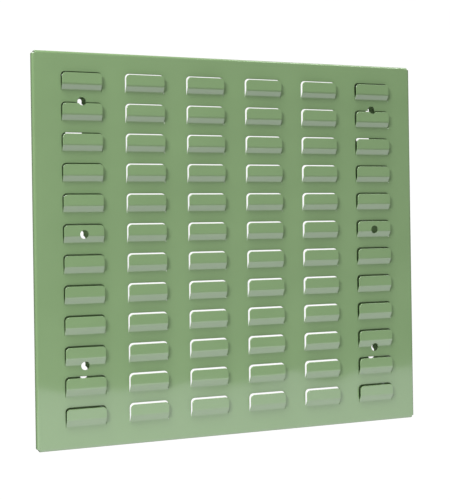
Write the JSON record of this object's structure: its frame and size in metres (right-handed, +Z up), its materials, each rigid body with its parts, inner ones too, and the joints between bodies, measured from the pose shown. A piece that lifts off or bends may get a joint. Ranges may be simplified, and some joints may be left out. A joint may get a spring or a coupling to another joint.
{
  "type": "louvred panel",
  "caption": "Upright steel wall panel with rows of forward-lanced louvres for hanging storage bins, folded edges and wide back flanges with keyholes for wall screws.",
  "frame": {"origin": "midway between the four corner wall screws, on the plane on which the back flanges lie against the wall", "axes": "+X to the viewer's right, +Y from the front of the panel into the wall, +Z up"},
  "size_m": [0.494, 0.0153, 0.456],
  "materials": {
    "painted_steel": "gloss powder coat, reseda green"
  },
  "bodies": {
    "root": {"louvred_panel": "painted_steel"}
  },
  "joints": []
}
